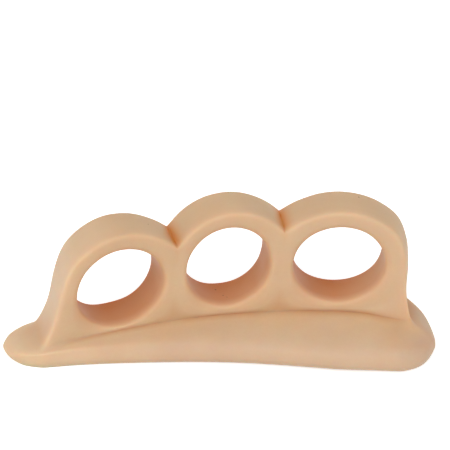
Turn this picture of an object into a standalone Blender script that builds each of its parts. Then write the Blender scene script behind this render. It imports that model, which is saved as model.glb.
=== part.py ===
"""Gel toe separator: three toe loops in a curved row on a wedge shaped pad, moulded in one piece.

The row runs along X, from the narrow end of the pad at -X to its broad end at +X. The broad side of
the pad lies towards -Y and the loops stand along its back. The underside is flat, on Z = 0, and the
origin is on it, below the front face of the middle loop.
"""

import math

import bpy
import bmesh

MM = 0.001

# Toe loops, counted from the narrow end of the pad
FIRST_BORE_HEIGHT = 17.4 * MM
MIDDLE_BORE_HEIGHT = 18.0 * MM
LAST_BORE_HEIGHT = 17.2 * MM
FIRST_BORE_WIDTH = 17.4 * MM
MIDDLE_BORE_WIDTH = 16.3 * MM
LAST_BORE_WIDTH = 17.9 * MM
WEB = 4.8 * MM
LOOP_DEPTH = 8.5 * MM
CROWN_WALL = 4.2 * MM
NOTCH_DEPTH = 5.0 * MM
FIRST_BORE_FLOOR = 1.0 * MM
MIDDLE_BORE_FLOOR = 2.0 * MM
LAST_BORE_FLOOR = 2.2 * MM
EDGE_ROUND = 1.6 * MM
BORE_EDGE_DRAW = 0.22 * MM
CROWN_EDGE_DRAW = 0.15 * MM
NARROW_FOOT_DRAW = 0.8 * MM

# Curve of the row in plan: the front faces lie on this circle and the bores point away from its centre
ROW_RADIUS = 143.0 * MM

# End walls: thickness beside the bore and at the foot, how much the narrow end's wall thins towards
# its back, and the angle at which the crown begins
NARROW_END_WALL = 4.2 * MM
NARROW_END_FOOT = 6.9 * MM
NARROW_END_TAPER = 2.0 * MM
BROAD_END_WALL = 4.9 * MM
BROAD_END_FOOT = 3.6 * MM
SHOULDER_ANGLE = math.radians(30)

# Flare of the end walls' front corners where they run out onto the pad, outwards and to the front
NARROW_FLARE_OUT = 0.7 * MM
NARROW_FLARE_FRONT = 0.6 * MM
BROAD_FLARE_OUT = 4.3 * MM
BROAD_FLARE_FRONT = 3.2 * MM

# Pad: thickness, reach in front of the loops, and ledge behind them
PAD_THICKNESS_NARROW = 3.5 * MM
PAD_THICKNESS_MIDDLE = 5.2 * MM
PAD_THICKNESS_BROAD = 5.6 * MM
REACH_NARROW_END = 2.2 * MM
REACH_FIRST_LOOP = 6.6 * MM
REACH_MIDDLE_LOOP = 10.7 * MM
REACH_LAST_LOOP = 13.8 * MM
REACH_BROAD_END = 13.3 * MM
LEDGE_NARROW_END = 1.1 * MM
LEDGE_MIDDLE = 1.5 * MM
LEDGE_BROAD_END = 0.7 * MM
FOOT_FILLET = 1.2 * MM

# Ends of the pad: how far each tip stands out past the end wall, and how far back it lies
NARROW_TIP = 6.2 * MM
NARROW_TIP_BACK = 5.2 * MM
BROAD_TIP = 8.4 * MM
BROAD_TIP_BACK = -3.6 * MM
NARROW_END_FULLNESS = 0.42
BROAD_FRONT_FULLNESS = 0.45
BROAD_BACK_FULLNESS = 0.35
NARROW_TIP_THINNING = 0.9 * MM
BROAD_TIP_THINNING = 1.7 * MM

# Rounding of the pad's rim, and the share of the way to the cage's next line that it takes at most
UPPER_RIM_ROUND = 1.4 * MM
LOWER_RIM_ROUND = 1.0 * MM
RIM_SHARE = 0.6

# How sharp the foot line is along the front of the loops, from 0 for soft to 1: soft at the narrow end
FOOT_LINE_SHARPNESS = 0.7
FOOT_LINE_SOFT_COLUMNS = 3

# Blocks of the cage that the smooth surface is drawn over
LOOPS = 3
FLOOR_BLOCKS = 4
SIDE_BLOCKS = 3
CROWN_BLOCKS = 6
RING_BLOCKS = FLOOR_BLOCKS + 2 * SIDE_BLOCKS + CROWN_BLOCKS
PAD_COLUMNS = LOOPS * FLOOR_BLOCKS
END_COLUMNS = 3
FRONT_ROWS = 3
DEPTH_ROWS = 3
LEDGE_ROWS = 2
PAD_ROWS = FRONT_ROWS + DEPTH_ROWS + LEDGE_ROWS
PAD_LAYERS = 2
WALL_SHARES = (0.0, 0.36, 0.68, 1.0)
CROWN_SHARES = (0.0, 0.12, 0.31, 0.5, 0.69, 0.88, 1.0)
END_SHARES = (0.0, 0.2, 0.62, 1.0)

# Places along the row, measured on the front faces from the middle of the middle loop
WIDTHS = (FIRST_BORE_WIDTH, MIDDLE_BORE_WIDTH, LAST_BORE_WIDTH)
HEIGHTS = (FIRST_BORE_HEIGHT, MIDDLE_BORE_HEIGHT, LAST_BORE_HEIGHT)
FLOORS = (FIRST_BORE_FLOOR, MIDDLE_BORE_FLOOR, LAST_BORE_FLOOR)
FIRST_WEB_LINE = -(MIDDLE_BORE_WIDTH + WEB) / 2
LAST_WEB_LINE = (MIDDLE_BORE_WIDTH + WEB) / 2
CENTRES = (
    FIRST_WEB_LINE - (WEB + FIRST_BORE_WIDTH) / 2,
    0.0,
    LAST_WEB_LINE + (WEB + LAST_BORE_WIDTH) / 2,
)
NARROW_END = CENTRES[0] - FIRST_BORE_WIDTH / 2 - NARROW_END_FOOT
BROAD_END = CENTRES[2] + LAST_BORE_WIDTH / 2 + BROAD_END_FOOT
WALL_LINES = (NARROW_END, FIRST_WEB_LINE, LAST_WEB_LINE, BROAD_END)
DEPTH_LINES = (0.0, EDGE_ROUND, LOOP_DEPTH - EDGE_ROUND, LOOP_DEPTH)


def blend(start, end, share):
    return start + (end - start) * share


def blend_points(start, end, share):
    return tuple(blend(a, b, share) for a, b in zip(start, end))


def foot_on_line(point, start, end):
    """Place on the line through two others that lies nearest to a point."""
    run, rise = end[0] - start[0], end[1] - start[1]
    share = ((point[0] - start[0]) * run + (point[1] - start[1]) * rise) / (run ** 2 + rise ** 2)
    return blend_points(start, end, share)


def curve_through(places, values, x):
    """Smooth curve through one value at each place, straight beyond the first and the last."""
    last = len(places) - 1
    slopes = []
    for i in range(last + 1):
        low, high = max(i - 1, 0), min(i + 1, last)
        slopes.append((values[high] - values[low]) / (places[high] - places[low]))
    if x <= places[0]:
        return values[0] + slopes[0] * (x - places[0])
    if x >= places[last]:
        return values[last] + slopes[last] * (x - places[last])
    i = max(n for n in range(last) if places[n] <= x)
    span = places[i + 1] - places[i]
    t = (x - places[i]) / span
    value = (2 * t ** 3 - 3 * t ** 2 + 1) * values[i] + (3 * t ** 2 - 2 * t ** 3) * values[i + 1]
    value += (t ** 3 - 2 * t ** 2 + t) * span * slopes[i] + (t ** 3 - t ** 2) * span * slopes[i + 1]
    return value


def bezier(points, t):
    a, b, c, d = points
    s = 1 - t
    weights = (s ** 3, 3 * s * s * t, 3 * s * t * t, t ** 3)
    return tuple(sum(w * p[n] for w, p in zip(weights, (a, b, c, d))) for n in range(2))


def on_row(along, back, up):
    """World place of a point given along the row, back from its front faces, and up."""
    angle = along / ROW_RADIUS
    radius = ROW_RADIUS + back
    return (radius * math.sin(angle), radius * math.cos(angle) - ROW_RADIUS, up)


def drawn_in(along, back):
    """Place along the row of an outer side, which the narrow end's wall draws in towards its back."""
    if along >= CENTRES[0]:
        return along
    depth = min(max(back / LOOP_DEPTH, 0.0), 1.0)
    share = (CENTRES[0] - along) / (CENTRES[0] - NARROW_END)
    return along + NARROW_END_TAPER * depth * share


def on_side(along, depth, up):
    """World place of a point on the outside of the loops, at one of the depth lines."""
    back = DEPTH_LINES[depth]
    return on_row(drawn_in(along, back), back, up)


def wall_draw(line, share):
    """Draw of an end wall's front and back edges, from the pad up: the narrow end's foot is rounder."""
    if line == 0:
        return blend(NARROW_FOOT_DRAW, CROWN_EDGE_DRAW, share)
    return CROWN_EDGE_DRAW


def edge_draw(depth, draw):
    """How far a front or back edge of a loop is drawn in, and the same with its sign to the back."""
    if depth == 0:
        return draw, draw
    if depth == len(DEPTH_LINES) - 1:
        return draw, -draw
    return 0.0, 0.0


def pad_thickness(along):
    places = (NARROW_END, 0.0, BROAD_END)
    values = (PAD_THICKNESS_NARROW, PAD_THICKNESS_MIDDLE, PAD_THICKNESS_BROAD)
    return curve_through(places, values, along)


def front_edge(along):
    places = (NARROW_END, CENTRES[0], CENTRES[1], CENTRES[2], BROAD_END)
    reaches = (REACH_NARROW_END, REACH_FIRST_LOOP, REACH_MIDDLE_LOOP, REACH_LAST_LOOP, REACH_BROAD_END)
    return -curve_through(places, reaches, along)


def back_edge(along):
    places = (NARROW_END, 0.0, BROAD_END)
    ledges = (LEDGE_NARROW_END, LEDGE_MIDDLE, LEDGE_BROAD_END)
    return LOOP_DEPTH + curve_through(places, ledges, along)


def bore_height(loop):
    """Height of a bore's axis."""
    return pad_thickness(CENTRES[loop]) + FLOORS[loop] + HEIGHTS[loop] / 2


def crown_height(loop):
    """Height of a loop's top."""
    return bore_height(loop) + HEIGHTS[loop] / 2 + CROWN_WALL


# Toe loops

def bore_point(loop, step, depth, wider=0.0, deeper=0.0):
    """Cage point round a bore, which runs straight back along its own axis."""
    turn = 2 * math.pi / RING_BLOCKS
    angle = -math.pi / 2 + (step - FLOOR_BLOCKS / 2) * turn
    # A smooth surface lies inside its cage, so the cage is this much larger
    growth = 3 / (2 + math.cos(turn))
    along = CENTRES[loop] + (WIDTHS[loop] / 2 + wider) * growth * math.cos(angle)
    up = bore_height(loop) + (HEIGHTS[loop] / 2 + wider) * growth * math.sin(angle)
    x, y, z = on_row(along, 0.0, up)
    heading = CENTRES[loop] / ROW_RADIUS
    back = DEPTH_LINES[depth] + deeper
    return (x + back * math.sin(heading), y + back * math.cos(heading), z)


def notch_height(line):
    """Height of the sharp notch between two loops, below the lower of their crowns."""
    lower = min(crown_height(line - 1), crown_height(line))
    return lower - NOTCH_DEPTH


def end_wall(line):
    """Loop, side, foot and wall thickness of the wall at one end of the row."""
    if line == 0:
        return 0, -1, NARROW_END_FOOT, NARROW_END_WALL
    return LOOPS - 1, 1, BROAD_END_FOOT, BROAD_END_WALL


def wall_point(line, share):
    """Place along the row and height on a web's middle or on an end wall's outer side, from the pad up."""
    foot_height = pad_thickness(WALL_LINES[line])
    if 0 < line < LOOPS:
        return WALL_LINES[line], blend(foot_height, notch_height(line), share)
    loop, side, foot, wall = end_wall(line)
    rise = bore_height(loop) - foot_height
    crown_radius = HEIGHTS[loop] / 2 + CROWN_WALL
    straight = rise / (rise + SHOULDER_ANGLE * crown_radius)
    if share <= straight:
        part = share / straight
        thickness = blend(foot, wall, 1 - (1 - part) ** 2)
        return CENTRES[loop] + side * (WIDTHS[loop] / 2 + thickness), foot_height + rise * part
    angle = SHOULDER_ANGLE * (share - straight) / (1 - straight)
    along = CENTRES[loop] + side * (WIDTHS[loop] / 2 + wall) * math.cos(angle)
    return along, bore_height(loop) + crown_radius * math.sin(angle)


def crown_point(loop, share):
    """Place along the row and height on a loop's outer arc, from its +X end (0) to its -X end (1)."""
    top = crown_height(loop)
    if share <= 0.5:
        line, side, part = loop + 1, 1, 1 - 2 * share
    else:
        line, side, part = loop, -1, 2 * share - 1
    if 0 < line < LOOPS:
        width = abs(WALL_LINES[line] - CENTRES[loop])
        drop = top - notch_height(line)
        radius = (width ** 2 + drop ** 2) / (2 * drop)
        angle = math.asin(min(1.0, width / radius)) * part
        return CENTRES[loop] + side * radius * math.sin(angle), top - radius * (1 - math.cos(angle))
    wall = end_wall(line)[3]
    angle = blend(math.pi / 2, SHOULDER_ANGLE, part)
    along = CENTRES[loop] + side * (WIDTHS[loop] / 2 + wall) * math.cos(angle)
    return along, bore_height(loop) + (HEIGHTS[loop] / 2 + CROWN_WALL) * math.sin(angle)


def outer_point(loop, step):
    """Place along the row and height on a loop's outside, counted like the steps round its bore."""
    step %= RING_BLOCKS
    if step <= FLOOR_BLOCKS:
        along = blend(WALL_LINES[loop], WALL_LINES[loop + 1], step / FLOOR_BLOCKS)
        return along, pad_thickness(along)
    if step <= FLOOR_BLOCKS + SIDE_BLOCKS:
        return wall_point(loop + 1, (step - FLOOR_BLOCKS) / SIDE_BLOCKS)
    if step < FLOOR_BLOCKS + SIDE_BLOCKS + CROWN_BLOCKS:
        return crown_point(loop, CROWN_SHARES[step - FLOOR_BLOCKS - SIDE_BLOCKS])
    return wall_point(loop, (RING_BLOCKS - step) / SIDE_BLOCKS)


def loop_point(loop, layer, step, depth):
    """Cage point of a loop's wall: layer 0 lies on the bore, the others between it and the outside."""
    if layer == 0:
        return bore_point(loop, step, depth, *edge_draw(depth, BORE_EDGE_DRAW))
    along, up = outer_point(loop, step)
    return blend_points(bore_point(loop, step, depth), on_side(along, depth, up), WALL_SHARES[layer])


def edge_point(loop, along, up, depth, draw):
    """Cage point on the outside of a loop, with its front and back edges drawn in towards the bore."""
    inwards, deeper = edge_draw(depth, draw)
    across, rise = CENTRES[loop] - along, bore_height(loop) - up
    share = inwards / math.hypot(across, rise)
    back = DEPTH_LINES[depth]
    return on_row(drawn_in(along + across * share, back), back + deeper, up + rise * share)


# Pad

def edge_slope(edge, along):
    nudge = 0.01 * MM
    return (edge(along + nudge) - edge(along - nudge)) / (2 * nudge)


def end_outline(side):
    """Front and back quarters of the pad's rounded end, each a curve in the plan of the row."""
    if side < 0:
        along, tip, tip_back = NARROW_END, NARROW_TIP, NARROW_TIP_BACK
        front_full, back_full = NARROW_END_FULLNESS, NARROW_END_FULLNESS
    else:
        along, tip, tip_back = BROAD_END, BROAD_TIP, BROAD_TIP_BACK
        front_full, back_full = BROAD_FRONT_FULLNESS, BROAD_BACK_FULLNESS
    front = (along, front_edge(along))
    back = (along, back_edge(along))
    end = (along + side * tip, tip_back)
    front_run, back_run = side * tip * front_full, side * tip * back_full
    front_pull = (front[0] + front_run, front[1] + front_run * edge_slope(front_edge, along))
    back_pull = (back[0] + back_run, back[1] + back_run * edge_slope(back_edge, along))
    front_quarter = (front, front_pull, (end[0], blend(end[1], front[1], front_full)), end)
    back_quarter = (end, (end[0], blend(end[1], back[1], back_full)), back_pull, back)
    return front_quarter, back_quarter


def foot_flare(column):
    """Shift of the foot of an end wall's front corner, along the row and to the front."""
    if column == 0:
        return -NARROW_FLARE_OUT, NARROW_FLARE_FRONT
    if column == PAD_COLUMNS:
        return BROAD_FLARE_OUT, BROAD_FLARE_FRONT
    return 0.0, 0.0


def pad_plan(column, row):
    """Place along the row and back from its front faces of one upright line of the pad's cage."""
    if 0 <= column <= PAD_COLUMNS:
        loop = min(column // FLOOR_BLOCKS, LOOPS - 1)
        share = (column - loop * FLOOR_BLOCKS) / FLOOR_BLOCKS
        along = blend(WALL_LINES[loop], WALL_LINES[loop + 1], share)
        edge = front_edge(along)
        flare_out, flare_front = foot_flare(column)
        fillet = min(FOOT_FILLET, -0.4 * (edge + flare_front))
        foot = -flare_front
        if row == FRONT_ROWS:
            return along + flare_out, foot
        if row < FRONT_ROWS:
            return along, (edge, blend(edge, foot - fillet, 0.42), foot - fillet)[row]
        if row <= FRONT_ROWS + DEPTH_ROWS:
            back = DEPTH_LINES[row - FRONT_ROWS]
        else:
            back = blend(LOOP_DEPTH, back_edge(along), (row - FRONT_ROWS - DEPTH_ROWS) / LEDGE_ROWS)
        return drawn_in(along, back), back
    side = -1 if column < 0 else 1
    start = 0 if column < 0 else PAD_COLUMNS
    out = END_SHARES[abs(column - start)]
    front_quarter, back_quarter = end_outline(side)
    corner = 0.62
    inner = pad_plan(start, row)
    inner_front = pad_plan(start, 0)
    inner_back = pad_plan(start, PAD_ROWS)
    across = (inner[1] - inner_front[1]) / (inner_back[1] - inner_front[1])
    if across <= 0.5:
        tip = bezier(front_quarter, blend(corner, 1, 2 * across))
    else:
        tip = bezier(back_quarter, (1 - corner) * (2 * across - 1))
    front, back = bezier(front_quarter, corner * out), bezier(back_quarter, 1 - corner * out)
    tip_front, tip_back = bezier(front_quarter, corner), bezier(back_quarter, 1 - corner)
    along_out = blend_points(inner, tip, out)
    along_across = blend_points(front, back, across)
    inner_side = blend_points(inner_front, inner_back, across)
    tip_side = blend_points(tip_front, tip_back, across)
    corners = blend_points(inner_side, tip_side, out)
    return tuple(a + b - c for a, b, c in zip(along_out, along_across, corners))


def pad_top(column, row):
    """Height of the pad's upper side on one upright line of its cage."""
    along = min(max(pad_plan(column, row)[0], NARROW_END), BROAD_END)
    top = pad_thickness(along)
    if row < FRONT_ROWS:
        top *= (0.85, 1.02, 1.0)[row]
    if row > FRONT_ROWS + DEPTH_ROWS:
        top *= blend(1.0, 0.85, (row - FRONT_ROWS - DEPTH_ROWS) / LEDGE_ROWS)
    out = max(-column, column - PAD_COLUMNS)
    if out > 0:
        top -= (NARROW_TIP_THINNING if column < 0 else BROAD_TIP_THINNING) * min(1.0, out / 2)
        top *= 0.85 if out == END_COLUMNS else 1.0
    return top


def rim_neighbours(column, row):
    """Column and row of the two upright lines next to one on the rim."""
    first, last = -END_COLUMNS, PAD_COLUMNS + END_COLUMNS
    if row in (0, PAD_ROWS):
        sides = [(column + n, row) for n in (-1, 1) if first <= column + n <= last]
    else:
        sides = []
    if column in (first, last):
        sides += [(column, row + n) for n in (-1, 1) if 0 <= row + n <= PAD_ROWS]
    return sides


def pad_point(column, row, layer):
    along, back = pad_plan(column, row)
    on_rim = column in (-END_COLUMNS, PAD_COLUMNS + END_COLUMNS) or row in (0, PAD_ROWS)
    if on_rim:
        # A smooth surface lies inside its cage where the outline bends, so the cage stands out there
        start, end = (pad_plan(*place) for place in rim_neighbours(column, row))
        along, back = blend_points(foot_on_line((along, back), start, end), (along, back), 4 / 3)
        # The rim's upper and lower edges lie inside its outline, which rounds them
        inner_column = min(max(column, 1 - END_COLUMNS), PAD_COLUMNS + END_COLUMNS - 1)
        inner_row = min(max(row, 1), PAD_ROWS - 1)
        inner = pad_plan(inner_column, inner_row)
        inset = (LOWER_RIM_ROUND, 0.0, UPPER_RIM_ROUND)[layer]
        share = min(inset / math.dist((along, back), inner), RIM_SHARE)
        along, back = blend_points((along, back), inner, share)
    return on_row(along, back, pad_top(column, row) * layer / PAD_LAYERS)


# Cage: blocks of the pad and of the loops, which share their corners where they meet

def outside_key(loop, step, row):
    """Name of a corner on a loop's outside, which its neighbour or the pad may share."""
    step %= RING_BLOCKS
    if step <= FLOOR_BLOCKS:
        return ("pad", loop * FLOOR_BLOCKS + step, row, PAD_LAYERS)
    if step <= FLOOR_BLOCKS + SIDE_BLOCKS:
        return ("wall", loop + 1, step - FLOOR_BLOCKS, row)
    if step < FLOOR_BLOCKS + SIDE_BLOCKS + CROWN_BLOCKS:
        return ("crown", loop, step, row)
    return ("wall", loop, RING_BLOCKS - step, row)


def loop_key(loop, layer, step, row):
    if layer == len(WALL_SHARES) - 1:
        return outside_key(loop, step, row)
    return ("loop", loop, layer, step % RING_BLOCKS, row)


def cage_point(key):
    if key[0] == "pad":
        return pad_point(*key[1:])
    depth = key[-1] - FRONT_ROWS
    if key[0] == "loop":
        return loop_point(key[1], key[2], key[3], depth)
    if key[0] == "crown":
        return edge_point(key[1], *outer_point(key[1], key[2]), depth, CROWN_EDGE_DRAW)
    share = key[2] / SIDE_BLOCKS
    along, up = wall_point(key[1], share)
    if 0 < key[1] < LOOPS:
        return on_side(along, depth, up)
    return edge_point(end_wall(key[1])[0], along, up, depth, wall_draw(key[1], share))


def pad_blocks():
    for column in range(-END_COLUMNS, PAD_COLUMNS + END_COLUMNS):
        for row in range(PAD_ROWS):
            for layer in range(PAD_LAYERS):
                floor = [("pad", column + a, row + b, layer) for a, b in ((0, 0), (1, 0), (1, 1), (0, 1))]
                yield floor + [key[:3] + (layer + 1,) for key in floor]


def loop_blocks():
    for loop in range(LOOPS):
        for layer in range(len(WALL_SHARES) - 1):
            for step in range(RING_BLOCKS):
                for row in range(FRONT_ROWS, FRONT_ROWS + DEPTH_ROWS):
                    turn = ((0, 1), (1, 1), (1, 0), (0, 0))
                    front = [loop_key(loop, layer + a, step + b, row) for a, b in turn]
                    yield front + [loop_key(loop, layer + a, step + b, row + 1) for a, b in turn]


def skin(blocks):
    """Faces of the blocks that no other block shares, seen from outside."""
    sides = ((0, 3, 2, 1), (4, 5, 6, 7), (0, 1, 5, 4), (1, 2, 6, 5), (2, 3, 7, 6), (3, 0, 4, 7))
    found = {}
    for block in blocks:
        for side in sides:
            face = [block[corner] for corner in side]
            found.setdefault(frozenset(face), []).append(face)
    return [faces[0] for faces in found.values() if len(faces) == 1]


def sharp_edges():
    """Edges of the cage that stay sharp, each with its two corners and how sharp it is."""
    for line in range(1, LOOPS):
        for row in range(FRONT_ROWS, FRONT_ROWS + DEPTH_ROWS):
            yield ("wall", line, SIDE_BLOCKS, row), ("wall", line, SIDE_BLOCKS, row + 1), 1.0
    for column in range(FOOT_LINE_SOFT_COLUMNS, PAD_COLUMNS):
        ends = [("pad", column + n, FRONT_ROWS, PAD_LAYERS) for n in (0, 1)]
        yield ends[0], ends[1], FOOT_LINE_SHARPNESS


def make_body():
    mesh = bpy.data.meshes.new("toe_separator")
    shape = bmesh.new()
    corners = {}
    for face in skin(list(pad_blocks()) + list(loop_blocks())):
        for key in face:
            if key not in corners:
                corners[key] = shape.verts.new(cage_point(key))
        shape.faces.new([corners[key] for key in face])
    crease = shape.edges.layers.float.new("crease_edge")
    for start, end, sharpness in sharp_edges():
        shape.edges.get((corners[start], corners[end]))[crease] = sharpness
    shape.to_mesh(mesh)
    shape.free()
    mesh.shade_smooth()
    body = bpy.data.objects.new("toe_separator", mesh)
    bpy.context.collection.objects.link(body)
    smooth = body.modifiers.new("Soft gel surface", "SUBSURF")
    smooth.levels = 1
    smooth.render_levels = 1
    return body


def make_gel():
    gel = bpy.data.materials.new("Skin coloured silicone gel")
    gel.use_nodes = True
    shader = gel.node_tree.nodes["Principled BSDF"]
    shader.inputs["Base Color"].default_value = (0.694, 0.440, 0.270, 1.0)
    shader.inputs["Roughness"].default_value = 0.5
    shader.inputs["Metallic"].default_value = 0.0
    return gel


def main():
    for old in list(bpy.data.objects):
        bpy.data.objects.remove(old)
    body = make_body()
    body.data.materials.append(make_gel())


main()
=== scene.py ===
"""Gel toe separator in a plain studio.

One soft moulding: three toe loops in a curved row on a wedge shaped pad, in skin coloured silicone gel.
The row is laid out straight, as places along, back and up, and geometry nodes bend it to the curve of
the toes, smooth it and give it the slight unevenness of a soft casting. Lengths are in metres.
"""

import math

import bpy
import bmesh
from mathutils import Matrix, Vector


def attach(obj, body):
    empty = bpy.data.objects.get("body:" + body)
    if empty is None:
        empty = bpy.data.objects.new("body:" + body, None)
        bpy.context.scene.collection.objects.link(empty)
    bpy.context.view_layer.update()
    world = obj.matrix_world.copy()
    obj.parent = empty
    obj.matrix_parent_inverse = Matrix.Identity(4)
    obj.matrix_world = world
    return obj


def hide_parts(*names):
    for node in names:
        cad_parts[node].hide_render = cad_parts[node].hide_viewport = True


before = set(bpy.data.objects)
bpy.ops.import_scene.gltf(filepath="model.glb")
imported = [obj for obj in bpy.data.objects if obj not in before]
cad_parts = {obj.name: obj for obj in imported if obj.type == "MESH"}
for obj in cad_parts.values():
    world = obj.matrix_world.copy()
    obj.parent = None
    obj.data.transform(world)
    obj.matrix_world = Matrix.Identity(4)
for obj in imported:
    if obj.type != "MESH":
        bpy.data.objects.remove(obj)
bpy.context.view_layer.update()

MM = 0.001

# Toe loops, counted from the narrow end of the pad
FIRST_BORE_HEIGHT = 17.4 * MM
MIDDLE_BORE_HEIGHT = 18.0 * MM
LAST_BORE_HEIGHT = 17.2 * MM
FIRST_BORE_WIDTH = 17.4 * MM
MIDDLE_BORE_WIDTH = 16.3 * MM
LAST_BORE_WIDTH = 17.9 * MM
WEB = 4.8 * MM
LOOP_DEPTH = 8.5 * MM
CROWN_WALL = 4.2 * MM
NOTCH_DEPTH = 5.0 * MM
FIRST_BORE_FLOOR = 1.0 * MM
MIDDLE_BORE_FLOOR = 2.0 * MM
LAST_BORE_FLOOR = 2.2 * MM
EDGE_ROUND = 1.6 * MM
BORE_EDGE_DRAW = 0.22 * MM
CROWN_EDGE_DRAW = 0.15 * MM
NARROW_FOOT_DRAW = 0.8 * MM

# Curve of the row in plan: the front faces lie on this circle and the bores point away from its centre
ROW_RADIUS = 143.0 * MM

# End walls: thickness beside the bore and at the foot, how much the narrow end's wall thins towards
# its back, and the angle at which the crown begins
NARROW_END_WALL = 4.2 * MM
NARROW_END_FOOT = 6.9 * MM
NARROW_END_TAPER = 2.0 * MM
BROAD_END_WALL = 4.9 * MM
BROAD_END_FOOT = 3.6 * MM
SHOULDER_ANGLE = math.radians(30)

# Flare of the end walls' front corners where they run out onto the pad, outwards and to the front
NARROW_FLARE_OUT = 0.7 * MM
NARROW_FLARE_FRONT = 0.6 * MM
BROAD_FLARE_OUT = 4.3 * MM
BROAD_FLARE_FRONT = 3.2 * MM

# Pad: thickness, reach in front of the loops, and ledge behind them
PAD_THICKNESS_NARROW = 3.5 * MM
PAD_THICKNESS_MIDDLE = 5.2 * MM
PAD_THICKNESS_BROAD = 5.6 * MM
REACH_NARROW_END = 2.2 * MM
REACH_FIRST_LOOP = 6.6 * MM
REACH_MIDDLE_LOOP = 10.7 * MM
REACH_LAST_LOOP = 13.8 * MM
REACH_BROAD_END = 13.3 * MM
LEDGE_NARROW_END = 1.1 * MM
LEDGE_MIDDLE = 1.5 * MM
LEDGE_BROAD_END = 0.7 * MM
FOOT_FILLET = 1.2 * MM

# Ends of the pad: how far each tip stands out past the end wall, and how far back it lies
NARROW_TIP = 6.2 * MM
NARROW_TIP_BACK = 5.2 * MM
BROAD_TIP = 8.4 * MM
BROAD_TIP_BACK = -3.6 * MM
NARROW_END_FULLNESS = 0.42
BROAD_FRONT_FULLNESS = 0.45
BROAD_BACK_FULLNESS = 0.35
NARROW_TIP_THINNING = 0.9 * MM
BROAD_TIP_THINNING = 1.7 * MM

# Rounding of the pad's rim, and the share of the way to the cage's next line that it takes at most
UPPER_RIM_ROUND = 1.4 * MM
LOWER_RIM_ROUND = 1.0 * MM
RIM_SHARE = 0.6

# Heights of the pad's cage as shares of its thickness: over the front rows, at the back rim and the tips
FRONT_ROW_HEIGHTS = (0.85, 1.02, 1.0)
BACK_RIM_HEIGHT = 0.85
TIP_RIM_HEIGHT = 0.85

# Where the pad's second row lies between its rim and the fillet, the share of the reach that the fillet
# takes at most, and how far round each quarter of a rounded end its corner lies
SECOND_ROW_SHARE = 0.42
FILLET_SHARE = 0.4
END_CORNER = 0.62

# How sharp the foot line is along the front of the loops, from 0 for soft to 1: soft at the narrow end
FOOT_LINE_SHARPNESS = 0.7
FOOT_LINE_SOFT_COLUMNS = 3

# Blocks of the cage that the smooth surface is drawn over
LOOPS = 3
FLOOR_BLOCKS = 4
SIDE_BLOCKS = 3
CROWN_BLOCKS = 6
RING_BLOCKS = FLOOR_BLOCKS + 2 * SIDE_BLOCKS + CROWN_BLOCKS
PAD_COLUMNS = LOOPS * FLOOR_BLOCKS
END_COLUMNS = 3
FRONT_ROWS = 3
DEPTH_ROWS = 3
LEDGE_ROWS = 2
PAD_ROWS = FRONT_ROWS + DEPTH_ROWS + LEDGE_ROWS
PAD_LAYERS = 2
WALL_SHARES = (0.0, 0.36, 0.68, 1.0)
CROWN_SHARES = (0.0, 0.12, 0.31, 0.5, 0.69, 0.88, 1.0)
END_SHARES = (0.0, 0.2, 0.62, 1.0)

# Places along the row, measured on the front faces from the middle of the middle loop
WIDTHS = (FIRST_BORE_WIDTH, MIDDLE_BORE_WIDTH, LAST_BORE_WIDTH)
HEIGHTS = (FIRST_BORE_HEIGHT, MIDDLE_BORE_HEIGHT, LAST_BORE_HEIGHT)
FLOORS = (FIRST_BORE_FLOOR, MIDDLE_BORE_FLOOR, LAST_BORE_FLOOR)
FIRST_WEB_LINE = -(MIDDLE_BORE_WIDTH + WEB) / 2
LAST_WEB_LINE = (MIDDLE_BORE_WIDTH + WEB) / 2
CENTRES = (
    FIRST_WEB_LINE - (WEB + FIRST_BORE_WIDTH) / 2,
    0.0,
    LAST_WEB_LINE + (WEB + LAST_BORE_WIDTH) / 2,
)
NARROW_END = CENTRES[0] - FIRST_BORE_WIDTH / 2 - NARROW_END_FOOT
BROAD_END = CENTRES[2] + LAST_BORE_WIDTH / 2 + BROAD_END_FOOT
WALL_LINES = (NARROW_END, FIRST_WEB_LINE, LAST_WEB_LINE, BROAD_END)
DEPTH_LINES = (0.0, EDGE_ROUND, LOOP_DEPTH - EDGE_ROUND, LOOP_DEPTH)


def blend(start, end, share):
    return start + (end - start) * share


def blend_points(start, end, share):
    return tuple(blend(a, b, share) for a, b in zip(start, end))


def foot_on_line(point, start, end):
    """Place on the line through two others that lies nearest to a point."""
    run, rise = end[0] - start[0], end[1] - start[1]
    share = ((point[0] - start[0]) * run + (point[1] - start[1]) * rise) / (run ** 2 + rise ** 2)
    return blend_points(start, end, share)


def curve_through(places, values, x):
    """Smooth curve through one value at each place, straight beyond the first and the last."""
    last = len(places) - 1
    slopes = []
    for i in range(last + 1):
        low, high = max(i - 1, 0), min(i + 1, last)
        slopes.append((values[high] - values[low]) / (places[high] - places[low]))
    if x <= places[0]:
        return values[0] + slopes[0] * (x - places[0])
    if x >= places[last]:
        return values[last] + slopes[last] * (x - places[last])
    i = max(n for n in range(last) if places[n] <= x)
    span = places[i + 1] - places[i]
    t = (x - places[i]) / span
    value = (2 * t ** 3 - 3 * t ** 2 + 1) * values[i] + (3 * t ** 2 - 2 * t ** 3) * values[i + 1]
    value += (t ** 3 - 2 * t ** 2 + t) * span * slopes[i] + (t ** 3 - t ** 2) * span * slopes[i + 1]
    return value


def bezier(points, t):
    a, b, c, d = points
    s = 1 - t
    weights = (s ** 3, 3 * s * s * t, 3 * s * t * t, t ** 3)
    return tuple(sum(w * p[n] for w, p in zip(weights, (a, b, c, d))) for n in range(2))


def unbent(x, y, up):
    """A point of the bent row, given along the row, back from its front faces, and up."""
    return (ROW_RADIUS * math.atan2(x, y + ROW_RADIUS), math.hypot(x, y + ROW_RADIUS) - ROW_RADIUS, up)


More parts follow.
